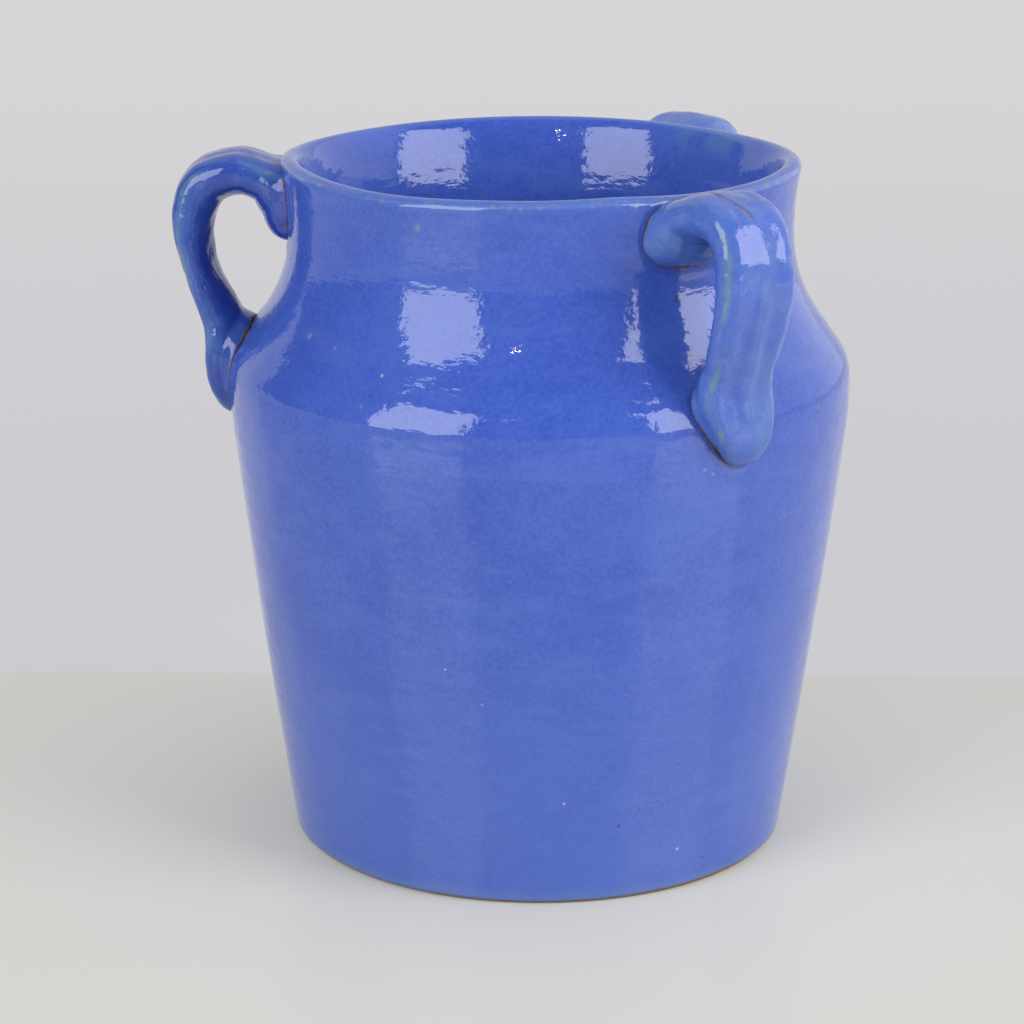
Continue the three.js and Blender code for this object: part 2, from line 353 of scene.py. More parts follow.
def from_line(points, line):
    """Distance of points from the nearest place on a line of straight pieces."""
    nearest = np.full(points.shape[:-1], 1e9)
    for a, b in zip(line[:-1], line[1:]):
        run = b - a
        share = np.clip((points - a) @ run / (run @ run), 0, 1)[..., None]
        nearest = np.minimum(nearest, norm(points - a - share * run, axis=-1))
    return nearest


def from_pot(points):
    """Distance of points from the pot's outer surface, negative inside it."""
    radius, height = np.hypot(points[..., 0], points[..., 1]), points[..., 2]
    distance = from_line(np.stack([radius, height], -1), skin)
    within = radius < np.interp(np.maximum(height, 0), with_lip[:, 1], with_lip[:, 0])
    return np.where(within & (height < rim_height), -distance, distance)


# %% Section of the strap, and where its rings lie
round_steps = 224
section_fullness, edge_softness = 3.4, 2.3
inner_fullness, inner_softness, inner_bulge = 2.2, 2, 1.3
first_ring, close_rings_end = 3.6, 26
close_ring_gap, ring_gap, tongue_rings = 0.3, 0.5, 64


def strap_section(root_bulge):
    """Shares of half width and half thickness round the strap, at its root and further on."""
    turn = (np.arange(round_steps) + 0.5) / round_steps * 2 * math.pi - math.pi / 2
    across = np.sin(turn)
    flat_face = (1 - np.abs(across) ** section_fullness) ** (1 / edge_softness)
    round_face = inner_bulge * (1 - np.abs(across) ** inner_fullness) ** (1 / inner_softness)
    is_outer = np.cos(turn) > 0
    root_section = np.where(is_outer, flat_face, -root_bulge * flat_face)
    return across, root_section, np.where(is_outer, flat_face, -round_face)


def ring_places(length):
    """Places of the rings along the strap: close at both joints, closest at the tongue's tip."""
    start = np.arange(first_ring, close_rings_end, close_ring_gap)
    middle = np.arange(close_rings_end, length - tongue_length - 0.2, ring_gap)
    turn = np.linspace(0, math.pi / 2, tongue_rings)
    tongue = length - tongue_length + tongue_length * np.sin(turn)
    return np.concatenate([start, middle, tongue[:-1]])


# %% Marks of the fingers on a strap
groove_depth, groove_half_width, groove_place, groove_fade = 1.0, 4.2, 0.37, 16
thumb_depth, thumb_place, thumb_length, thumb_width = 0.8, 11, 5.5, 5
arch_fill, arch_place, arch_reach = 0.8, 37, 9


def finger_marks(at, to_tip, width, sideways, seed):
    """Depth of the two grooves down the outer face and of the thumb's print in the tongue."""
    wander = 0.25 * waves(at[:, None], 45, seed)[:, None]
    from_groove = np.abs(np.abs(sideways) + wander * np.sign(sideways)
                         - (groove_place * width / 2)[:, None])
    in_groove = np.minimum(from_groove / groove_half_width, 1)
    groove = groove_depth * (1 + np.cos(math.pi * in_groove)) / 2
    share = (step(0, groove_fade, to_tip) * (0.2 + 0.8 * step(28, 60, at)))[:, None]
    thumb = thumb_depth * hump(to_tip - thumb_place, thumb_length)[:, None]
    return groove * share + thumb * hump(sideways, thumb_width)


# %% Lay the rings of one strap
root_section_end, free_section_start = 5.5, 9
waist, waist_place, waist_reach = 0.07, 29, 5
drift_lead = 6


def lay_strap(handle, seed):
    """Rings of a strap in its own plane (x outwards, y across, z up) and their measures."""
    course = handle["course"]
    places = walked(course[:, :2])
    length = places[-1]
    at = ring_places(length)
    x, z, width, thickness = (np.interp(at, places, values) for values in course.T)
    along = unit(np.gradient(np.stack([x, z], -1), axis=0))
    outward = np.stack([-along[:, 1], along[:, 0]], -1)

    to_tip = length - at
    taper = np.sqrt(1 - np.clip(1 - to_tip / tongue_length, 0, 1) ** 2)
    tip_taper = np.sqrt(1 - np.clip(1 - to_tip / tip_length, 0, 1) ** 2)
    across, root_section, free_section = strap_section(handle["root_bulge"])
    freed = step(root_section_end, free_section_start, at)[:, None]
    height = root_section + (free_section - root_section) * freed
    narrowing = waist * hump(to_tip - waist_place, waist_reach)
    wander = 1 + 0.012 * waves(at[:, None], 30, seed) - narrowing
    sideways = across * (width * taper * wander / 2)[:, None]
    marks = finger_marks(at, to_tip, width, sideways, seed + 1)
    arch = arch_fill * hump(at - arch_place, arch_reach)[:, None] * np.sqrt(1 - across ** 2)
    upward = height * (thickness * tip_taper / 2)[:, None] - np.where(height > 0, marks, arch)
    drift_length = tongue_length + drift_lead
    drift = handle["tongue_drift"] * step(0, drift_length, drift_length - to_tip)
    points = np.stack([x[:, None] + outward[:, :1] * upward, sideways + drift[:, None],
                       z[:, None] + outward[:, 1:] * upward], -1)
    return at, length, outward, points, sideways, upward


# %% [markdown]
# ## Working the joints
# `seat` measures every point of the strap from the pot and moves those close to it. `open_share`
# says where the joint cracked: 1 is a clean crack and 0 a wiped, filled joint. The same distances
# give the loop where strap and pot meet, which the bead of slip follows.

# %% Direction out of the strap at every point
def out_of_strap(points, outward):
    """Unit vectors square to the surface in the plane of each ring, and how far they face out."""
    ahead = np.roll(points, -1, axis=1) - np.roll(points, 1, axis=1)
    up = ahead[..., 0] * outward[:, None, 0] + ahead[..., 2] * outward[:, None, 1]
    sideways = ahead[..., 1]
    size = np.maximum(np.hypot(up, sideways), 1e-9)
    face_up = sideways / size
    normal = np.stack([outward[:, None, 0] * face_up, -up / size,
                       outward[:, None, 1] * face_up], -1)
    return normal, face_up


# %% Seat a strap on the pot
crack_rounding = 1.25
fillet_height, fillet_reach = 1.6, 1.1
crotch_fill, crotch_reach, crotch_edge = 3.2, 5, 1.5


def fill_crotch(points, outward, share):
    """Clay pressed into the corner between the strap's inner face and the shoulder."""
    normal, _ = out_of_strap(points, outward)
    added = crotch_fill * share * step(crotch_reach, crotch_edge, from_pot(points))
    return points + normal * added[..., None]


def seat(points, outward, open_share, half_size):
    """The strap rounded back along cracks and swollen along wiped joints."""
    normal, face_up = out_of_strap(points, outward)
    distance = from_pot(points)
    rounding = np.minimum(crack_rounding * open_share, 0.35 * half_size[:, None])
    over = np.clip(rounding - distance, 0, rounding)
    drawn_in = rounding - np.sqrt(np.maximum(rounding ** 2 - over ** 2, 0))
    swell = fillet_height * (1 - open_share) * np.exp(-np.maximum(distance, 0) / fillet_reach)
    swell *= np.minimum(half_size[:, None] / 4, 1) * step(-3, -1, distance)
    return points + normal * (swell - drawn_in)[..., None], distance, face_up


# %% Loop where a strap meets the pot
loop_spacing, smoothings = 0.4, 6


def meeting_loop(points, distance):
    """Points where the grid crosses the pot's surface, in order round their middle."""
    found = []
    for here, there, start, end in (
            (distance[:-1], distance[1:], points[:-1], points[1:]),
            (distance, np.roll(distance, -1, axis=1), points, np.roll(points, -1, axis=1))):
        crosses = here * there < 0
        share = (here / np.where(crosses, here - there, 1))[..., None]
        found.append((start + share * (end - start))[crosses])
    found = np.vstack(found)
    middle = found.mean(axis=0)
    turn = np.arctan2(found[:, 2] - middle[2], found[:, 1] - middle[1])
    found = found[np.argsort(turn)]
    even = spaced(np.vstack([found, found[:1]]), loop_spacing)[:-1]
    for _ in range(smoothings):
        even = (np.roll(even, 1, axis=0) + 2 * even + np.roll(even, -1, axis=0)) / 4
    return even


def turned(points, degrees):
    """Points turned about the vase's axis."""
    cos, sin = math.cos(math.radians(degrees)), math.sin(math.radians(degrees))
    return points @ np.array([[cos, sin, 0], [-sin, cos, 0], [0, 0, 1]])


# %% [markdown]
# ## Three handles
# The three straps share one recipe and differ in angle, height and wear. On the right handle the
# lip's clay was drawn over the root and ends in a thin seam along the strap's crest. On the left
# one the joint is cracked nearly all round.

# %% Where each joint cracked, and the seam along the right handle's crest
crest_seam = np.array([[73.2, -8.5], [74.2, -6], [76.5, -3.9], [80, -3.2], [85, -3.1],
                       [90, -3.2], [94, -2.7], [97, -2], [99.5, -1.2]])
crest_bottom, seam_width, seam_depth = 194, 0.5, 0.45


def cracked(side, points, at, length):
    """How open the joint is at each point of a strap."""
    y, z = points[..., 1], points[..., 2]
    ragged = 0.5 + 0.5 * waves(points, 9, 40)
    upper = (at < length / 2)[:, None]
    wiped = {
        "left": np.where(upper, 0.25, 0.3 + 0.25 * step(149, 140, z)),
        "right": np.where(upper, step(-5, -1, y) * step(184, 192, z), step(3, 9, y)),
        "back": 0.6 * step(-2, 8, y),
    }[side]
    return np.clip((1 - wiped) * (0.55 + 0.45 * ragged), 0, 1)


def near_crest_seam(points, face_up):
    """1 on the seam along the crest, falling away beside it and 0 on the strap's other faces."""
    below = (face_up < 0.2) | (points[..., 2] < crest_bottom)
    return hump(from_line(points[..., :2], crest_seam) + 9 * below, seam_width)


# %% Where the glaze runs thin on a strap
def thin_places(points, sideways, upward, face_up, at, to_tip, seed):
    """Thinness on both edges, on the ridge between the grooves and at the tip, and streaks."""
    from_edge = np.abs(sideways).max(axis=1, keepdims=True) - np.abs(sideways)
    streaky = np.clip(0.6 + 0.4 * waves(points / [1, 0.25, 1], 14, seed), 0, 1)
    edge = hump(from_edge - 1.1, 1.1) * (upward > -1) * step(4, 14, at)[:, None]
    centre_ridge = 0.8 * hump(sideways, 1.1) * (face_up > 0.5) * step(6, 20, to_tip)[:, None]
    tip_edge = hump(to_tip - 1.5, 2.2)[:, None] * (face_up > -0.2)
    return np.clip((edge + centre_ridge) * streaky + 0.35 * tip_edge, 0, 1), streaky


# %% Make the handles
loops = {}


def make_handle(side, handle, number):
    at, length, outward, points, sideways, upward = lay_strap(handle, 100 + 10 * number)
    normal, _ = out_of_strap(points, outward)
    uneven = 0.14 * waves(points, 16, 5 + number) + 0.07 * waves(points, 5, 15 + number)
    points = points + normal * uneven[..., None] * step(0, 6, length - at)[:, None, None]
    half_size = np.abs(upward).max(axis=1)
    open_share = cracked(side, points, at, length)
    inner_share = step(0.05, 0.5, -upward / half_size[:, None]) * (at > length / 2)[:, None]
    plain = fill_crotch(points, outward, handle["filled"] * inner_share)
    points, distance, face_up = seat(plain, outward, open_share, half_size)

    middle = len(at) // 2
    for end, part in (("upper", slice(0, middle)), ("lower", slice(middle, None))):
        loops[f"{side}_{end}"] = turned(meeting_loop(plain[part], distance[part]), handle["angle"])

    thin, streaky = thin_places(points, sideways, upward, face_up, at, length - at, 60 + number)
    seam = open_share * step(1.9, 0.3, distance) * (distance > -2)
    if side == "right":
        crest = near_crest_seam(points, face_up)
        seam = np.maximum(seam, crest * (0.8 + 0.3 * streaky))
        points = points - normal * (seam_depth * crest)[..., None]

    points = turned(points, handle["angle"])
    faces = [face[::-1] for face in closed_faces(*points.shape[:2])]
    ends = [points[0].mean(axis=0), points[-1].mean(axis=0)]
    return make_piece(f"strap_handle_{side}", np.vstack([points.reshape(-1, 3), ends]), faces,
                      {"thin": with_ends(thin), "seam": with_ends(seam)})


for number, (side, handle) in enumerate(handles.items()):
    handle["piece"] = make_handle(side, handle, number)

# %% [markdown]
# ## The pot
# A turned outline alone looks like factory glass. The real pot swells and leans by a few tenths
# of a millimetre, carries faint throwing rings, and its lip dips and rises where it was cut and
# where handles were pulled against it. Round each joint the slip was wiped into a low collar.
# The glaze stops just above the table in a small step, and the clay below it is bare.

# %% Heights of the lip and of the glaze's edge round the pot
columns = 448
azimuth = np.arange(columns) / columns * 2 * math.pi
compass = np.stack([np.cos(azimuth), np.sin(azimuth)], -1)


def bump_at(degrees, width):
    """1 at one direction round the pot, falling away to both sides."""
    away = (np.degrees(azimuth) - degrees + 180) % 360 - 180
    return hump(away, width)


lip_rise = 0.35 * waves(compass * 30, 38, 7) - 0.5 * bump_at(235, 22) + 0.6 * bump_at(287, 11)
glaze_edge = (0.55 + 0.12 * waves(compass * 72, 40, 8) + 0.07 * waves(compass * 72, 9, 9)
              + 1.1 * bump_at(318, 22))
print("glaze stops", glaze_edge.min().round(2), "to", glaze_edge.max().round(2), "mm up the foot")


# %% Nearness of points to the joints
loop_reach = 26


def near_loops(points, reach=6):
    """Distance of points to the nearest joint, up to a reach."""
    nearest = np.full(len(points), float(reach))
    for loop in loops.values():
        close = np.where(norm(points - loop.mean(axis=0), axis=1) < loop_reach)[0]
        for part in np.array_split(close, max(len(close) // 2000, 1)):
            apart = norm(points[part, None] - loop[None], axis=-1).min(axis=1)
            nearest[part] = np.minimum(nearest[part], apart)
    return nearest


# %% Make the pot
throwing_ring, ring_outside, ring_inside = 6.5, 0.02, 0.12
glaze_thickness = 0.3
lip_zone = 182
collar_zone, collar_size, collar_width = 100, 0.3, 1.9


def round_the_pot(radius, height):
    return np.stack([compass[:, 0] * radius, compass[:, 1] * radius, height], -1)


def make_pot():
    rows = len(outline)
    radius = np.repeat(outline[:, :1], columns, axis=1)
    height = np.repeat(outline[:, 1:], columns, axis=1)
    outer = (np.arange(rows) <= outline[:, 1].argmax())[:, None]
    upright = outline[:, 1:] > 0.01

    body = round_the_pot(radius, height)
    lean = 0.22 * waves(body, 130, 1) + 0.1 * waves(body, 45, 2) + 0.03 * waves(body, 14, 3)
    rings = np.sin(2 * math.pi * height / throwing_ring + azimuth)
    rings *= np.where(outer, ring_outside, ring_inside) * (0.5 + 0.5 * waves(body, 60, 4))
    radius = radius + (lean + rings) * upright * (radius > 2)

    bare = np.where(upright, step(0.12, -0.12, height - glaze_edge), 1) * outer
    radius = radius - glaze_thickness * bare * upright
    height = height + lip_rise * step(lip_zone, rim_height - 3, height)

    points = round_the_pot(radius, height).reshape(-1, 3)
    collar_rows = np.repeat(outer & (outline[:, 1:] > collar_zone), columns, axis=1).ravel()
    away = np.full(len(points), 99.0)
    away[collar_rows] = near_loops(points[collar_rows])
    reach = (away / collar_width) ** 2
    collar = collar_size * reach * np.exp(1 - reach)
    points[:, :2] *= 1 + (collar / np.maximum(np.hypot(points[:, 0], points[:, 1]), 1))[:, None]

    lip_edge = hump(outline[:, 1] - rim_height + 1.3, 0.7) * (outline[:, 0] > lip_middle)
    crown = 0.4 * hump(outline[:, 1] - rim_height, 0.4)
    thin = np.repeat(np.maximum(lip_edge, crown)[:, None], columns, axis=1)
    ends = [[0, 0, outline[0, 1]], [0, 0, outline[-1, 1]]]
    return make_piece("thrown_pot", np.vstack([points, ends]), closed_faces(rows, columns), {
        "thin": with_ends(thin), "seam": with_ends(step(1.0, 0.1, away)),
        "bare": with_ends(bare, 1, 0)})


pot = make_pot()

# %% [markdown]
# ## Slip in the joints
# Handles are stuck on with slip, clay thinned to a cream, and some of it squeezes out round the
# joint. Under the glaze it fires brownish and shrinks to a thin, uneven line at the bottom of the
# crack, and near-black patches on it are painted shade for the depth of the crack. A curve with a
# bevel would be even all along. A tube laid ring by ring along the meeting loop can swell and thin
# out.

# %% A bead along a loop
bead_columns = 10
bead_radius, bead_depth = 0.56, 0.45


def make_bead(name, loop, seed):
    ahead = unit(np.roll(loop, -1, axis=0) - np.roll(loop, 1, axis=0))
    side = unit(np.cross(ahead, unit(loop * [1, 1, 0])))
    out = np.cross(side, ahead)
    radius = bead_radius + 0.1 * waves(loop, 7, seed) + 0.07 * waves(loop, 2.5, seed + 1)
    turn = (np.arange(bead_columns) / bead_columns * 2 * math.pi)[None, :, None]
    spokes = np.cos(turn) * out[:, None] + np.sin(turn) * side[:, None]
    points = (loop - bead_depth * out)[:, None] + spokes * radius[:, None, None]
    return make_piece(name, points.reshape(-1, 3), grid_faces(len(loop), bead_columns, looped=True))


beads = {place: make_bead(f"slip_seam_{place}", loop, 300 + 10 * i)
         for i, (place, loop) in enumerate(loops.items())}

# %% [markdown]
# ## Sums on sockets
# A finish is a sum of small effects: cloudiness, grain, specks, thin places. Wiring each one by
# hand hides the sum, so a small class wraps an output socket and lets `+`, `-` and `*` make the
# Math nodes. Every other node comes from one method that takes the node's type, its settings and
# what goes into its sockets: a number or colour is set there, a wire is linked.

# %% Wires: sockets in sums
def math_node(operation, swapped=False):
    """A method that makes a Math node from two terms."""
    def make(self, other):
        first, second = (other, self) if swapped else (self, other)
        return self.recipe.node("Math", {"operation": operation}, {0: first, 1: second})
    return make


class Wire:
    """An output socket that can be used in sums."""

    def __init__(self, recipe, node, output=0):
        self.recipe = recipe
        self.socket = node.outputs[output] if node.outputs else None

    __add__ = __radd__ = math_node("ADD")
    __sub__ = math_node("SUBTRACT")
    __rsub__ = math_node("SUBTRACT", swapped=True)
    __mul__ = __rmul__ = math_node("MULTIPLY")
    most = math_node("MAXIMUM")


# %% Recipes: materials made one line at a time
glaze_ior = 1.55


class Recipe:
    """A material or world, and the kinds of node that its finish is put together from."""

    def __init__(self, name, kind=bpy.data.materials):
        self.block = kind.new(name)
        self.block.use_nodes = True
        self.tree = self.block.node_tree
        self.tree.nodes.clear()
        self.made = 0

    def node(self, kind, settings=None, sockets=None, output=0):
        node = self.tree.nodes.new("ShaderNode" + kind)
        self.made += 1
        for setting, value in (settings or {}).items():
            setattr(node, setting, value)
        for key, value in (sockets or {}).items():
            if isinstance(value, Wire):
                self.tree.links.new(value.socket, node.inputs[key])
            else:
                node.inputs[key].default_value = value
        return Wire(self, node, output)

    def place(self):
        return self.node("TexCoord", output="Object")

    def noise(self, per_metre, detail=2, seed=0, stretch=(1, 1, 1)):
        moved = self.node("Mapping", None, {
            "Vector": self.place(), "Location": (seed * 3.7, seed * 1.9, seed * 2.3),
            "Scale": stretch})
        return self.node("TexNoise", None, {
            "Vector": moved, "Scale": per_metre, "Detail": detail})

    def value(self, name):
        """A value stored at the mesh's points."""
        return self.node("Attribute", {"attribute_name": name}, output="Fac")

    def ramp(self, x, low, high):
        """0 below low and 1 above high, smooth between them."""
        return self.node("MapRange", {"interpolation_type": "SMOOTHSTEP"}, {
            "Value": x, "From Min": low, "From Max": high})

    def blend(self, share, first, second):
        """The first colour where share is 0, the second where it is 1."""
        return self.node("Mix", {"data_type": "RGBA"}, {
            0: share, 6: first, 7: second}, output=2)

    def along(self, axis):
        """Place along X, Y or Z in metres."""
        return self.node("SeparateXYZ", None, {0: self.place()}, output=axis)

    def away_from(self, place):
        """Distance in metres from a place given in millimetres."""
        return self.node("VectorMath", {"operation": "DISTANCE"}, {
            0: self.place(), 1: [v * MM for v in place]}, output="Value")

    def spot(self, place, radius, softness=0.35):
        """1 inside a small round mark at a place in millimetres, 0 outside."""
        return self.ramp(self.away_from(place), radius * MM, radius * MM * softness)

    def marks(self, places_and_sizes):
        """1 inside any of several small marks."""
        first, *others = [self.spot(place, radius) for place, radius in places_and_sizes]
        for other in others:
            first = first.most(other)
        return first

    def bumps(self, height, depth):
        """A normal for small bumps, of which a height of 1 stands this many millimetres out."""
        return self.node("Bump", None, {
            "Height": height, "Strength": 1.0, "Distance": depth * MM}, output="Normal")

    def finish(self, colour, roughness, normal):
        return self.end(self.node("BsdfPrincipled", None, {
            "Base Color": colour, "Roughness": roughness, "Normal": normal, "IOR": glaze_ior}))

    def end(self, surface, kind="OutputMaterial"):
        self.node(kind, None, {"Surface": surface})
        print(self.block.name, "has", self.made, "nodes")
        return self.block


def tint(red, green, blue):
    """A colour as it is seen on a screen, 0 to 255, in the light values that shaders use."""
    def light(v):
        v /= 255
        return v / 12.92 if v <= 0.04045 else ((v + 0.055) / 1.055) ** 2.4
    return (light(red), light(green), light(blue), 1)


# %% [markdown]
# ## Cobalt glaze on the pot
# Cobalt melts into a thick, glossy, faintly cloudy blue with a fine grain where it boiled. On
# the sharp lip it runs thin and shows olive, dirt in the kiln left specks, and the foot is bare
# buff clay. The gloss is not flat: the glaze has the low swell of an orange's skin, which tears
# the edges of every reflection. Coat layers could give the gloss, but one smooth surface over
# the colour is what a glaze looks like and is all that it needs.

# %% Colours of the vase, and how deep its small bumps are in millimetres
cobalt = tint(66, 93, 179)
cobalt_deep = tint(52, 78, 169)
cobalt_milky = tint(77, 102, 182)
olive = tint(128, 138, 96)
brown_seam = tint(92, 72, 48)
# near-black painted shade for the depth of the cracks
painted_crack_shade = tint(34, 28, 34)
buff_clay = tint(150, 124, 90)
pale_speck = tint(190, 196, 190)
glaze_bumps, slip_bumps = 0.11, 0.1

# %% Marks seen on the pot: direction in degrees, height in millimetres and radius
def on_pot(degrees, height, radius):
    turn = math.radians(degrees)
    return radius * math.cos(turn), radius * math.sin(turn), height


def outer_marks(*marks):
    return [(on_pot(degrees, height, outside_radius(height)), size)
            for degrees, height, size in marks]


olive_marks = outer_marks((-116.5, 191.6, 1.4), (-119.7, 169, 0.9), (-143.4, 157.6, 1.3),
                          (-134.5, 156.4, 0.8), (-123, 144.2, 0.7), (-60.3, 128.2, 0.9),
                          (-58.6, 126.7, 0.8))
pale_marks = outer_marks((-120.8, 152.1, 0.7), (-117.2, 156.2, 0.5), (-58.1, 13.3, 0.7),
                         (-108, 71.6, 0.5), (-101, 62, 0.4), (-84.7, 32, 0.6))
brown_marks = outer_marks((-59.9, 171.9, 1.2), (-40.9, 146.4, 0.9), (-41.9, 145.1, 0.8),
                          (-31.1, 136.5, 1), (-31.5, 134.6, 0.9), (-72.7, 23.8, 0.8),
                          (-50.6, 8.3, 0.7), (-122, 147.3, 0.6))
inner_mark_height = 191
inner_rows = outline[outline[:, 1].argmax():][::-1]
inner_radius = np.interp(inner_mark_height, inner_rows[:, 1], inner_rows[:, 0])
inner_marks = [(on_pot(degrees, inner_mark_height, inner_radius), size)
               for degrees, size in ((139.2, 0.8), (115.6, 0.7))]
blister_place, blister_radius = on_pot(-65.5, 30.3, outside_radius(30.3)), 9.5


# %% The pot's glaze
def pot_glaze():
    r = Recipe("cobalt_glaze")
    clouds = r.noise(26, 3, 1)
    mottle = r.noise(170, 4, 2)
    grain = r.noise(850, 3, 3)
    depth = r.ramp(clouds * 0.4 + mottle * 0.2 + grain * 0.4, 0.36, 0.64)
    colour = r.blend(depth, cobalt_deep, cobalt)
    drawn = r.noise(38, 3, 4, (1, 1, 3.5))
    colour = r.blend(r.ramp(drawn, 0.5, 0.75) * 0.4, colour, cobalt_milky)
    low_wall = r.ramp(r.along("Z"), 0.11, 0.03)
    colour = r.blend(low_wall * 0.4, colour, tint(84, 108, 186))

    scatter = r.node("TexVoronoi", {"feature": "F1"}, {
        "Vector": r.place(), "Scale": 130, "Randomness": 1})
    rare = r.ramp(r.noise(90, 1, 5), 0.66, 0.72)
    dust = r.ramp(scatter, 0.085, 0.03) * rare
    colour = r.blend(dust * 0.55, colour, tint(40, 52, 90))
    colour = r.blend(r.marks(olive_marks) * 0.6, colour, tint(112, 132, 128))
    colour = r.blend(r.marks(pale_marks) * 0.5, colour, pale_speck)
    colour = r.blend(r.marks(brown_marks + inner_marks) * 0.7, colour, tint(70, 62, 84))

    colour = r.blend(r.value("thin") * 0.5, colour, tint(100, 128, 180))
    lip = r.value("thin") * r.ramp(r.noise(480, 4, 6), 0.52, 0.68)
    colour = r.blend(lip * 0.5, colour, olive)
    green = r.spot((54, 46, 199), 27, 0.3) * r.ramp(r.noise(120, 3, 7), 0.35, 0.6)
    green = green * r.ramp(r.along("Z"), 0.191, 0.197)
    colour = r.blend(green * 0.35, colour, tint(92, 132, 160))
    thin_foot = r.ramp(r.along("Z") + r.noise(70, 2, 13) * 0.004, 0.0075, 0.003)
    colour = r.blend(thin_foot * 0.6, colour, tint(88, 116, 164))
    seam = r.value("seam") * r.ramp(r.noise(330, 3, 8), 0.35, 0.6)
    colour = r.blend(seam * 0.8, colour, brown_seam)

    clay_grain = r.noise(2200, 3, 9)
    clay = r.blend(clay_grain, tint(124, 100, 70), buff_clay)
    bare = r.value("bare")
    colour = r.blend(bare, colour, clay)

    blister = r.spot(blister_place, blister_radius, 0.2)
    pits = r.node("TexVoronoi", {"feature": "SMOOTH_F1"}, {
        "Vector": r.place(), "Scale": 520, "Smoothness": 0.6})
    throwing = r.noise(34, 3, 12, (1, 1, 6))
    skin = r.noise(420, 2, 10) * 0.5 + r.noise(130, 3, 11, (1, 1, 2)) * 1.8 + throwing * 1.5
    swell = skin + r.ramp(pits, 0.5, 0.1) * blister * 1.1 + clay_grain * bare * 2
    roughness = 0.05 + mottle * 0.05 + bare * 0.7 + dust * 0.3
    return r.finish(colour, roughness, r.bumps(swell, glaze_bumps))


# %% [markdown]
# ## Glaze on the handles
# The straps took the glaze unevenly: thick and dark on the left one, thinner and slightly
# greener on the other two. Along their edges and on the ridge between the grooves it breaks to
# a paler tone. A painted mask could say where. The mesh already knows it, from the direction
# that each point faces, so the break follows the form, and one recipe serves all three.

# %% The handles' glaze
def handle_glaze(name, deep, plain, milky):
    r = Recipe(name)
    clouds = r.noise(45, 3, 21)
    mottle = r.noise(210, 4, 22)
    colour = r.blend(r.ramp(clouds * 0.6 + mottle * 0.4, 0.38, 0.62), deep, plain)
    grain = r.noise(1500, 2, 23)
    colour = r.blend(r.ramp(grain, 0.45, 0.7) * 0.35, colour, milky)
    thin = r.value("thin")
    halo = r.ramp(thin * 0.7 + clouds * 0.3, 0.25, 0.7)
    colour = r.blend(halo * 0.6, colour, tint(72, 112, 162))
    broken = r.ramp(thin * 0.6 + r.noise(520, 4, 24) * 0.6, 0.62, 1.0)
    colour = r.blend(broken * 0.5, colour, tint(112, 134, 128))
    seam = r.value("seam")
    ochre = r.blend(r.ramp(r.noise(420, 3, 25), 0.4, 0.6), brown_seam, tint(132, 112, 70))
    colour = r.blend(r.ramp(seam + r.noise(380, 3, 26) * 0.6 - 0.3, 0.3, 0.75), colour, ochre)
    skin = r.noise(420, 2, 27) + r.noise(150, 3, 28) * 3.4
    roughness = 0.08 + mottle * 0.06 + seam * 0.25
    return r.finish(colour, roughness, r.bumps(skin, glaze_bumps))


# %% The slip's colour: the ochre of fired slip, with near-black patches of painted shade for the depth of the crack
def slip_and_crack_shade_finish():
    r = Recipe("fired_slip_and_crack_shade")
    patches = r.noise(260, 3, 31)
    # near-black patches are painted shade deep in the crack; the ochre is the fired slip's own
    # colour
    colour = r.blend(r.ramp(patches, 0.4, 0.55), painted_crack_shade, brown_seam)
    colour = r.blend(r.ramp(r.noise(90, 2, 32), 0.52, 0.62) * 0.7, colour, tint(60, 72, 120))
    return r.finish(colour, 0.3 + patches * 0.4, r.bumps(r.noise(1800, 3, 33), slip_bumps))


# %% Put each finish on its pieces, and the pieces in the place of the plain solids
def dress(piece, material, slot, *nodes):
    piece.data.materials.append(material)
    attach(piece, "root")
    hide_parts(*nodes)


dress(pot, pot_glaze(), "blue_glaze", "vase_body")
thick_glaze = handle_glaze("thick_handle_glaze", tint(40, 60, 150), tint(47, 76, 154),
                           tint(56, 86, 168))
thin_glaze = handle_glaze("thin_handle_glaze", tint(67, 92, 178), tint(76, 106, 176),
                          tint(92, 122, 192))
seam_and_crack_shade_finish = slip_and_crack_shade_finish()
for side, handle in handles.items():
    glaze = thick_glaze if side == "left" else thin_glaze
    dress(handle["piece"], glaze, "handle_glaze", f"handle_{side}")
for place, bead in beads.items():
    dress(bead, seam_and_crack_shade_finish, "slip_seam", f"luting_slip_{place}")

# %% [markdown]
# ## Table and background
# The vase stands on a pale, slightly glossy table in front of a pale wall. One wide floor plays
# both. Near the vase it is lit and takes the shadow, and right in front of the foot it mirrors
# the vase faintly. Behind the table's back edge, and further off on every side, it fades to the
# tone of the wall, so every view has the same quiet background, which a separate table and wall
# wouldn't give.

# %% A wide floor
wall_tone = tint(213, 213, 215)
table_reach = 9.0
lit_reach, mirrored_reach, wall_reach = 0.3, (0.6, 1.6), (0.28, 0.7)
table_edge = 0.128
polish_middle, polish_reach = (0, -100, 0), (0.055, 0.11)


def make_floor():
    radii = np.geomspace(0.12, table_reach, 24) / MM
    count = 64
    turn = np.arange(count) / count * 2 * math.pi
    ring = np.stack([np.cos(turn), np.sin(turn), np.zeros(count)], -1)
    points = (radii[:, None, None] * ring).reshape(-1, 3)
    faces = [face[::-1] for face in grid_faces(len(radii), count)]
    faces += end_fan(len(points), np.arange(count), True)
    return make_piece("table", np.vstack([points, [[0, 0, 0]]]), faces)


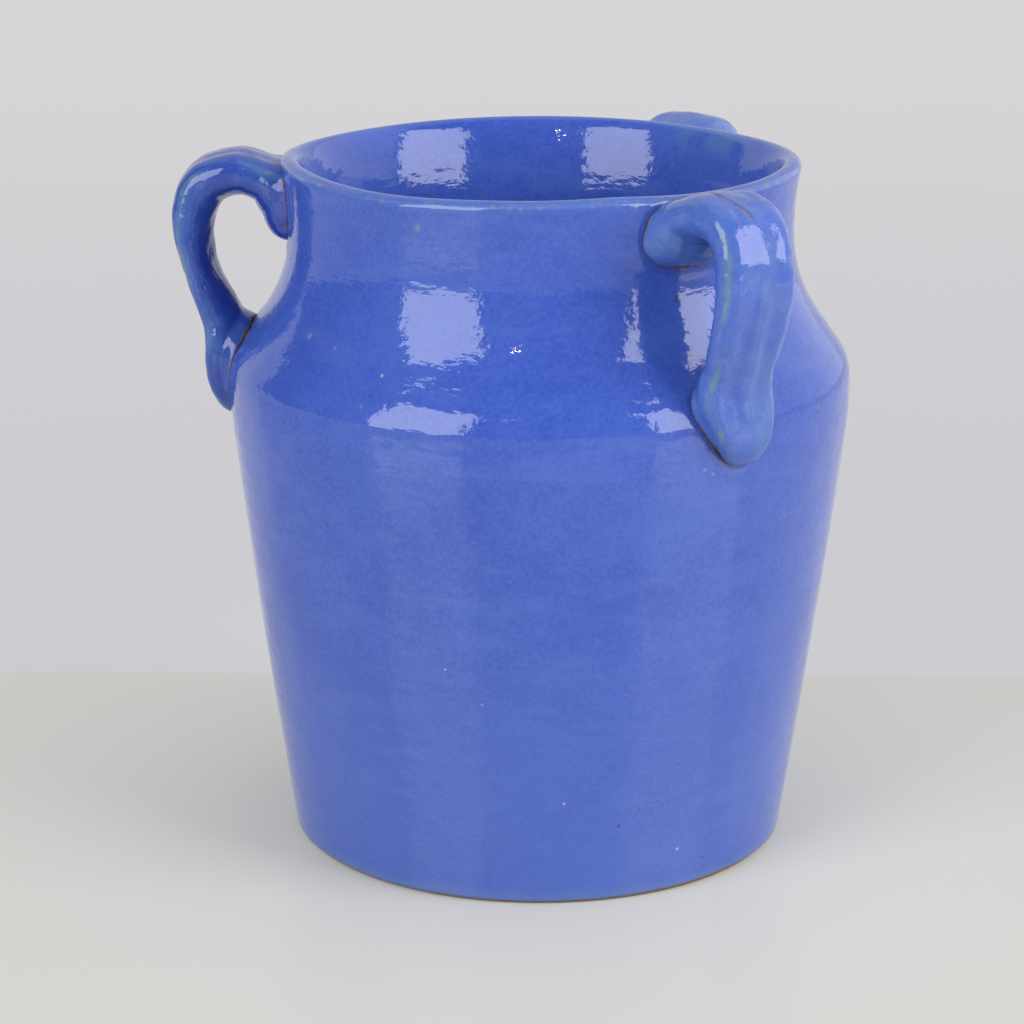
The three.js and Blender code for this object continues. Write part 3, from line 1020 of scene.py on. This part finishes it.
def lit_table(r, watched, back, behind):
    """The table near the vase, which shines for the camera only in front of the foot."""
    cloud = r.noise(9, 3, 41)
    tone = r.blend(r.ramp(back, 0.09, -0.15), tint(216, 215, 208), tint(207, 206, 200))
    tone = r.blend(cloud * 0.3, tone, tint(222, 221, 215))
    tone = r.blend(behind, tone, tint(223, 222, 224))
    polish = 0.5 * (1 - r.ramp(r.away_from(polish_middle), *polish_reach))
    return r.node("BsdfPrincipled", None, {
        "Base Color": tone, "Roughness": 0.5 + cloud * 0.1, "Specular IOR Level": 0.0,
        "Coat Weight": 1 - watched * (1 - polish), "Coat Roughness": 0.18})


def floor_finish():
    r = Recipe("pale_table")
    away = r.away_from((0, 0, 0))
    back = r.along("Y")
    watched = r.node("LightPath", output="Is Camera Ray")
    far = r.ramp(away, 0.0, lit_reach) * watched + r.ramp(away, *mirrored_reach) * (1 - watched)
    behind = r.ramp(back, table_edge - 0.002, table_edge + 0.002)
    wall = r.blend(r.ramp(back + r.noise(16, 3, 42) * 0.12, -0.1, 2.0),
                   tint(203, 202, 207), tint(214, 214, 216))
    far_table = r.blend(r.ramp(back, 0.09, -0.15), tint(202, 202, 200), tint(211, 211, 208))
    wall = r.blend(behind.most(r.ramp(away, *wall_reach)), far_table, wall)
    even = r.node("Emission", None, {"Color": wall, "Strength": 1.0})
    return r.end(r.node("MixShader", None, {
        0: far, 1: lit_table(r, watched, back, behind), 2: even}))


floor = make_floor()
floor.data.materials.append(floor_finish())

# %% The wall's tone all round, and a softer light than it for the vase itself
def pale_room():
    r = Recipe("pale_room", bpy.data.worlds)
    seen = r.node("Background", None, {"Color": wall_tone, "Strength": 1.0})
    light = r.node("Background", None, {"Color": (1.0, 1.0, 1.02, 1), "Strength": 0.55})
    camera, glossy, glass = (r.node("LightPath", output=f"Is {kind} Ray")
                             for kind in ("Camera", "Glossy", "Transmission"))
    return r.end(r.node("MixShader", None, {
        0: camera.most(glossy).most(glass), 1: light, 2: seen}), "OutputWorld")


bpy.context.scene.world = pale_room()

# %% [markdown]
# ## Light
# The vase was lit by two tall, soft windows, left and right of the camera. Their reflections
# are the pale squares on the shoulder and inside the neck. The wall further right is a little
# paler, and one small, warm lamp gives the bright dots. Behind the camera the room is dim, which
# keeps the shoulder a deep blue between the windows. A picture of a room could light it too.
# Area lamps fill just the directions that can be read from the reflections.

# %% Two windows of light, a paler wall on the right and a small lamp
seen_from = 0.12


def soft_light(name, azimuths, elevations, distance, radiance, colour=(1, 1, 1)):
    """An upright lamp that fills these directions, in degrees, seen from the vase's middle."""
    middle = math.radians(sum(azimuths) / 2)
    width = 2 * distance * math.tan(math.radians(azimuths[1] - azimuths[0]) / 2)
    low, high = (seen_from + distance * math.tan(math.radians(e)) for e in elevations)
    lamp = bpy.data.lights.new(name, "AREA")
    lamp.shape = "RECTANGLE"
    lamp.color = colour
    lamp.size, lamp.size_y = width, high - low
    lamp.energy = radiance * math.pi * lamp.size * lamp.size_y
    piece = bpy.data.objects.new(name, lamp)
    place = Matrix.Translation((distance * math.cos(middle), distance * math.sin(middle),
                                (low + high) / 2))
    piece.matrix_world = (place @ Matrix.Rotation(middle + math.pi / 2, 4, "Z")
                          @ Matrix.Rotation(math.pi / 2, 4, "X"))
    piece.visible_camera = False
    link(piece)
    print(name, "gives", round(lamp.energy, 2), "W")


soft_light("window_left", (-152, -115.5), (2.5, 46), 1.5, 4.4)
soft_light("window_right", (-49, -9), (2, 46), 1.5, 4.8)
soft_light("pale_wall_right", (-7, 62), (-3, 54), 1.9, 0.38)
soft_light("lamp", (-102.4, -101.6), (38.8, 39.3), 1.5, 450, (1, 0.86, 0.84))

# %% The dim side of the room, which only shows as a reflection
room_distance = 3200
room_azimuths, room_elevations = (-214, -6), (2, 80)


def make_dim_room():
    across, up = np.meshgrid(np.radians(np.linspace(*room_azimuths, 60)),
                             np.radians(np.linspace(*room_elevations, 24)))
    points = room_distance * np.stack([np.cos(across) * np.cos(up), np.sin(across) * np.cos(up),
                                       np.sin(up)], -1)
    corner = np.arange(across.size).reshape(across.shape)
    quads = np.stack([corner[:-1, :-1], corner[:-1, 1:], corner[1:, 1:], corner[1:, :-1]], -1)
    return make_piece("dim_room", points.reshape(-1, 3), quads.reshape(-1, 4).tolist())


dim_room = make_dim_room()
dim_wall = Recipe("dim_wall")
dim_room.data.materials.append(dim_wall.end(
    dim_wall.node("Emission", None, {"Color": (0.1, 0.1, 0.11, 1), "Strength": 1.0})))
for kind in ("camera", "diffuse", "transmission", "shadow"):
    setattr(dim_room, f"visible_{kind}", False)

# %% [markdown]
# ## Camera
# The view was solved from the photograph: a long lens a little above the rim that looks down
# sixteen degrees, with the vase slightly right of the middle.

# %% Camera
photo_size = 1024
focal_pixels = 3166.5
centre_pixel = 539.4
look_down, roll = 0.2780, 0.0042
camera_back, camera_height = 0.89749, 0.35023
camera = bpy.data.objects.new("camera", bpy.data.cameras.new("camera"))
camera.data.sensor_width = 36
camera.data.lens = focal_pixels / photo_size * camera.data.sensor_width
camera.data.shift_x = (photo_size / 2 - centre_pixel) / photo_size
camera.matrix_world = (Matrix.Translation((0, -camera_back, camera_height))
                       @ Matrix.Rotation(math.pi / 2 - look_down, 4, "X")
                       @ Matrix.Rotation(roll, 4, "Z"))
link(camera)
bpy.context.scene.camera = camera
bpy.context.scene.view_settings.view_transform = "Standard"
print("lens", round(camera.data.lens, 1), "mm")
